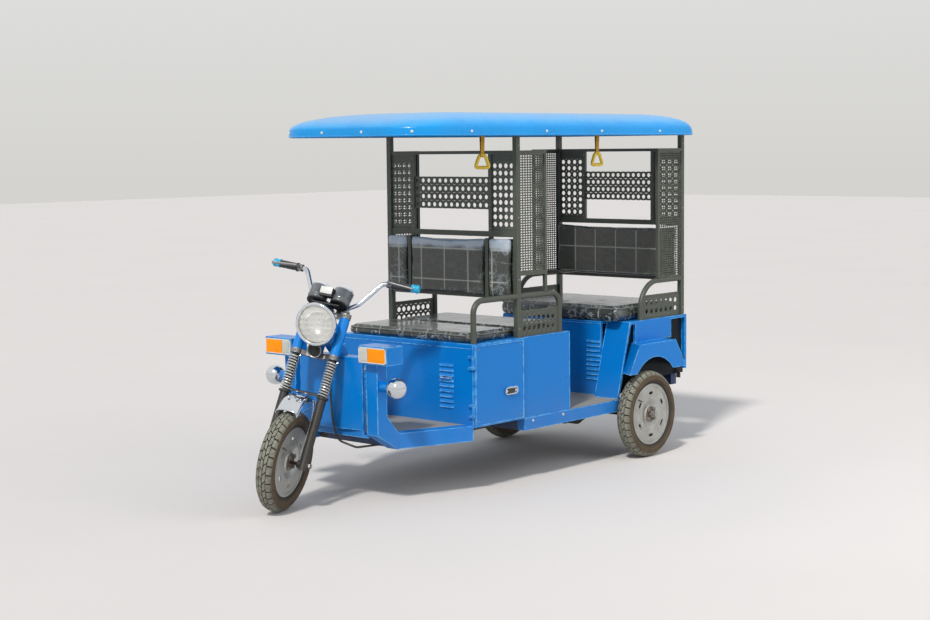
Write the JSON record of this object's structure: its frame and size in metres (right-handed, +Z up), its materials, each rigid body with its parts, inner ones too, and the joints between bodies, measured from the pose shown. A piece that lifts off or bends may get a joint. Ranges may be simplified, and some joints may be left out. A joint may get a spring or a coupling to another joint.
{
  "type": "auto rickshaw",
  "caption": "Open-sided battery auto rickshaw with a domed canopy, a raked steered front fork, a driver's bench over hinged battery doors and a rear bench under armrests.",
  "frame": {"origin": "on the ground, at the middle of the length and width", "axes": "+Z up, -Y towards the front, +X towards the vehicle's left"},
  "size_m": [1.056, 2.873, 1.812],
  "materials": {
    "amber_lens": "gloss",
    "bare_steel": "satin",
    "black_chassis_paint": "satin",
    "black_plastic": "matte",
    "black_rubber": "matte",
    "black_seat_vinyl": "gloss",
    "blue_body_paint": "gloss",
    "blue_canopy_gelcoat": "gloss",
    "bright_steel": "satin",
    "chrome_plate": "polished",
    "grey_floor_sheet": "matte",
    "lamp_glass": "gloss",
    "olive_frame_paint": "satin",
    "red_lens": "gloss",
    "silver_wheel_paint": "satin",
    "tyre_rubber": "matte",
    "yellow_plastic": "gloss"
  },
  "bodies": {
    "frame": {"armrests": "olive_frame_paint", "ball_lamps": "chrome_plate", "battery_pack": "black_plastic", "cabin_bars": "olive_frame_paint", "cabin_posts": "olive_frame_paint", "cabin_rails": "olive_frame_paint", "canopy": "blue_canopy_gelcoat", "chassis_members": "black_chassis_paint", "chassis_rails": "black_chassis_paint", "control_cable": "black_rubber", "drive_motor": "black_chassis_paint", "driver_backrest": "black_seat_vinyl", "driver_cushion": "black_seat_vinyl", "floor_sheets": "grey_floor_sheet", "front_shield": "blue_body_paint", "grab_handles": "yellow_plastic", "indicator_housings": "blue_body_paint", "indicator_lenses": "amber_lens", "leaf_springs": "black_chassis_paint", "mud_flaps": "black_rubber", "nose_frames": "blue_body_paint", "passenger_backrest": "black_seat_vinyl", "passenger_cushion": "black_seat_vinyl", "perforated_plates": "olive_frame_paint", "rear_axle": "black_chassis_paint", "rear_backrest": "black_seat_vinyl", "rear_body": "blue_body_paint", "rear_cushion": "black_seat_vinyl", "rear_fenders": "blue_body_paint", "roof_bows": "olive_frame_paint", "roof_rails": "olive_frame_paint", "seat_box": "blue_body_paint", "steering_column": "blue_body_paint", "step_rails": "blue_body_paint", "tail_lamps": "red_lens"},
    "steering": {"fork_yokes": "bare_steel", "fork_legs": "black_chassis_paint", "fork_springs": "bright_steel", "fork_covers": "blue_body_paint", "headlight_bowl": "black_plastic", "headlight_glass": "lamp_glass", "horn": "black_plastic", "instruments": "black_plastic", "handlebar": "chrome_plate", "grips": "black_rubber", "levers": "bare_steel", "front_mudguard": "chrome_plate"},
    "front_wheel": {"front_tyre": "tyre_rubber", "front_rim": "silver_wheel_paint"},
    "rear_wheel_left": {"rear_tyre_left": "tyre_rubber", "rear_rim_left": "silver_wheel_paint"},
    "rear_wheel_right": {"rear_tyre_right": "tyre_rubber", "rear_rim_right": "silver_wheel_paint"},
    "door_left": {"battery_door_left": "blue_body_paint"},
    "door_right": {"battery_door_right": "blue_body_paint"}
  },
  "joints": [
    {"name": "steer", "type": "hinge", "parent": "frame", "child": "steering", "pos_m": [0, -1.035, 0.6], "axis": [0, 0.3987, 0.9171], "range_deg": [-63.5, 16.5]},
    {"name": "front_wheel_spin", "type": "hinge", "parent": "steering", "child": "front_wheel", "pos_m": [0.00877, -1.21672, 0.23267], "axis": [0.9171, 0.3657, -0.159], "continuous": true},
    {"name": "rear_wheel_left_spin", "type": "hinge", "parent": "frame", "child": "rear_wheel_left", "pos_m": [0.486, 0.929, 0.228], "axis": [1, 0, 0], "continuous": true},
    {"name": "rear_wheel_right_spin", "type": "hinge", "parent": "frame", "child": "rear_wheel_right", "pos_m": [-0.486, 0.929, 0.228], "axis": [1, 0, 0], "continuous": true},
    {"name": "door_left_hinge", "type": "hinge", "parent": "frame", "child": "door_left", "pos_m": [0.441, -0.411, 0.52], "axis": [0, 0, 1], "range_deg": [-105, 0]},
    {"name": "door_right_hinge", "type": "hinge", "parent": "frame", "child": "door_right", "pos_m": [-0.441, -0.411, 0.52], "axis": [0, 0, 1], "range_deg": [0, 105]}
  ]
}
